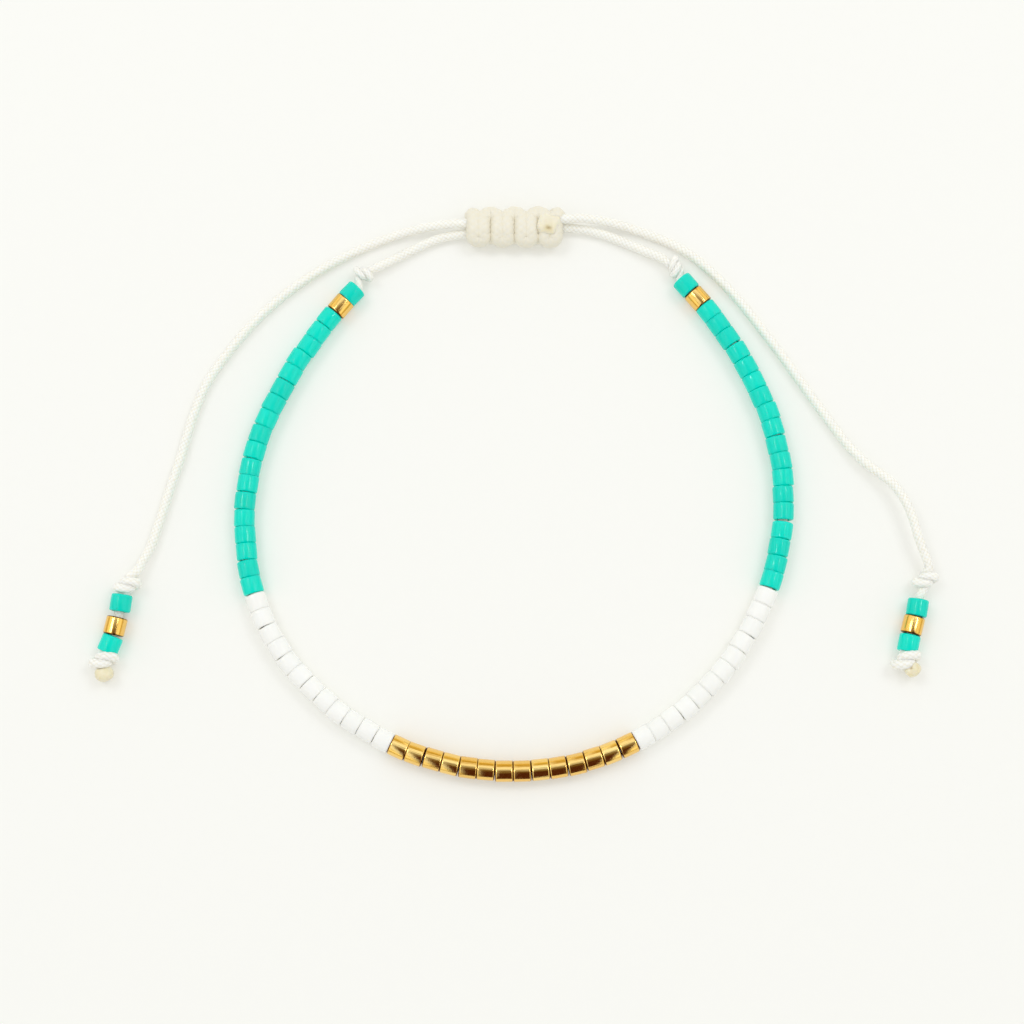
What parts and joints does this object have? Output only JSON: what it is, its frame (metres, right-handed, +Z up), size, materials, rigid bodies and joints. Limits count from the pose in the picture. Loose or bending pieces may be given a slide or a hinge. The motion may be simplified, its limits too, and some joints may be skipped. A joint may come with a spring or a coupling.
{
  "type": "seed bead bracelet",
  "caption": "Thin adjustable bracelet of turquoise, white and gold cylinder seed beads on braided white cord, closed by a sliding knot, with loose tails that end in beads and knots.",
  "frame": {"origin": "on the table, in the middle of the closed bracelet with its slider, without the loose tails", "axes": "+Z up from the table, +Y towards the sliding knot, +X to the right as the picture shows it"},
  "size_m": [0.0643, 0.0444, 0.0019],
  "materials": {
    "turquoise_glass": "opaque glossy",
    "white_glass": "opaque satin",
    "gold_plate": "polished gold plating",
    "white_nylon": "fine braid with a slight sheen"
  },
  "bodies": {
    "root": {"gold_run": "gold_plate", "white_run_left": "white_glass", "white_run_right": "white_glass", "turquoise_run_left": "turquoise_glass", "turquoise_run_right": "turquoise_glass", "spacer_bead_left": "gold_plate", "spacer_bead_right": "gold_plate", "end_bead_left": "turquoise_glass", "end_bead_right": "turquoise_glass", "closure_cord_left": "white_nylon", "closure_cord_right": "white_nylon", "sliding_knot": "white_nylon", "tail_cord_left": "white_nylon", "tail_cord_right": "white_nylon", "tail_knot_left": "white_nylon", "tail_knot_right": "white_nylon", "tail_bead_left_1": "turquoise_glass", "tail_bead_left_2": "gold_plate", "tail_bead_left_3": "turquoise_glass", "tail_bead_right_1": "turquoise_glass", "tail_bead_right_2": "gold_plate", "tail_bead_right_3": "turquoise_glass", "tail_end_left": "white_nylon", "tail_end_right": "white_nylon"}
  },
  "joints": []
}
